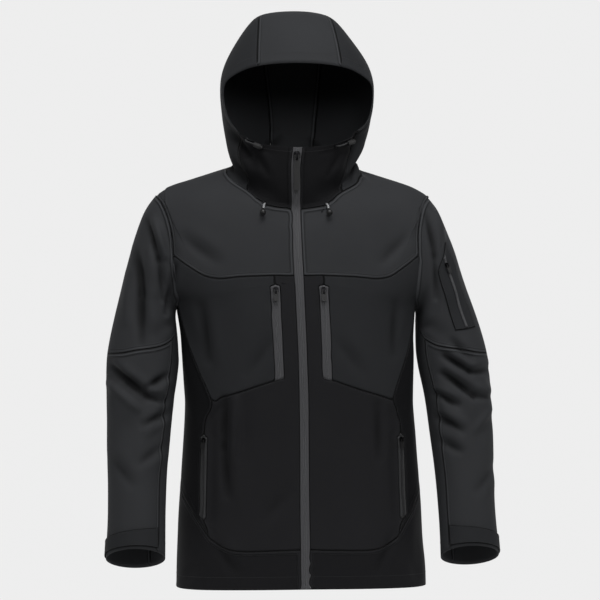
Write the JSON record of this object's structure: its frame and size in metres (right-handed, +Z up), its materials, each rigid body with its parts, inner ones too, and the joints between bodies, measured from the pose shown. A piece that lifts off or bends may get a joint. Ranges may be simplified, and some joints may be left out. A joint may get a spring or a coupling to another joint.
{
  "type": "hooded softshell jacket",
  "caption": "Hooded softshell jacket with a full front zip, zipped chest, hand and sleeve pockets, drawcord hood and tabbed cuffs, filled out as worn",
  "frame": {"origin": "between the shoulders at the base of the neck, where the wearer's shoulders carry the jacket", "axes": "+Z up along the body, -Y the front with the zip, +X the wearer's left"},
  "size_m": [0.6863, 0.2451, 1.0169],
  "materials": {
    "shell": "matte bonded softshell cloth, charcoal black",
    "zip_tape": "coil zip and tape, dark grey",
    "zip_metal": "satin black coated zinc",
    "cord_plastic": "moulded black plastic",
    "cord": "braided grey drawcord"
  },
  "bodies": {
    "jacket": {"front_yoke_left": "shell", "front_yoke_right": "shell", "chest_panel_left": "shell", "chest_panel_right": "shell", "front_panel_left": "shell", "front_panel_right": "shell", "side_panel_left": "shell", "side_panel_right": "shell", "hem_panel_left": "shell", "hem_panel_right": "shell", "back_yoke": "shell", "back_panel": "shell", "back_hem": "shell", "collar_left": "shell", "collar_right": "shell", "hood_side_left": "shell", "hood_side_right": "shell", "hood_crown": "shell", "upper_sleeve_left": "shell", "upper_sleeve_right": "shell", "fore_sleeve_left": "shell", "fore_sleeve_right": "shell", "under_sleeve_left": "shell", "under_sleeve_right": "shell", "cuff_tab_left": "shell", "cuff_tab_right": "shell", "sleeve_pocket": "shell", "main_zip": "zip_tape", "chest_zip_left": "zip_tape", "chest_zip_right": "zip_tape", "pocket_zip_left": "zip_tape", "pocket_zip_right": "zip_tape", "sleeve_zip": "zip_tape", "main_slider": "zip_metal", "chest_slider_left": "zip_metal", "chest_slider_right": "zip_metal", "pocket_slider_left": "zip_metal", "pocket_slider_right": "zip_metal", "sleeve_slider": "zip_metal", "hood_eyelet_left": "zip_metal", "hood_eyelet_right": "zip_metal", "cord_lock_left": "cord_plastic", "cord_lock_right": "cord_plastic", "cord_bell_left": "cord_plastic", "cord_bell_right": "cord_plastic", "hood_cord_left": "cord", "hood_cord_right": "cord", "neck_cord_left": "cord", "neck_cord_right": "cord"},
    "main_pull_tab": {"main_pull": "zip_metal"},
    "chest_pull_left_tab": {"chest_pull_left": "zip_metal"},
    "chest_pull_right_tab": {"chest_pull_right": "zip_metal"},
    "pocket_pull_left_tab": {"pocket_pull_left": "zip_metal"},
    "pocket_pull_right_tab": {"pocket_pull_right": "zip_metal"},
    "sleeve_pull_tab": {"sleeve_pull": "zip_metal"}
  },
  "joints": [
    {"name": "main_pull_hinge", "type": "hinge", "parent": "jacket", "child": "main_pull_tab", "pos_m": [-0.0134, -0.1169, 0.0202], "axis": [-1, 0, 0], "range_deg": [0, 150]},
    {"name": "chest_pull_left_hinge", "type": "hinge", "parent": "jacket", "child": "chest_pull_left_tab", "pos_m": [0.0323, -0.1249, -0.2101], "axis": [-0.9988, -0.0496, -0.0009], "range_deg": [0, 150]},
    {"name": "chest_pull_right_hinge", "type": "hinge", "parent": "jacket", "child": "chest_pull_right_tab", "pos_m": [-0.0502, -0.1249, -0.2101], "axis": [-0.9988, 0.0496, 0.0009], "range_deg": [0, 150]},
    {"name": "pocket_pull_left_hinge", "type": "hinge", "parent": "jacket", "child": "pocket_pull_left_tab", "pos_m": [0.1725, -0.0784, -0.469], "axis": [-0.7778, -0.6285, -0.0083], "range_deg": [0, 150]},
    {"name": "pocket_pull_right_hinge", "type": "hinge", "parent": "jacket", "child": "pocket_pull_right_tab", "pos_m": [-0.1737, -0.0784, -0.469], "axis": [-0.7778, 0.6285, 0.0083], "range_deg": [0, 150]},
    {"name": "sleeve_pull_hinge", "type": "hinge", "parent": "jacket", "child": "sleeve_pull_tab", "pos_m": [0.2544, -0.0679, -0.1655], "axis": [-0.7991, -0.5489, -0.2452], "range_deg": [0, 150]}
  ]
}
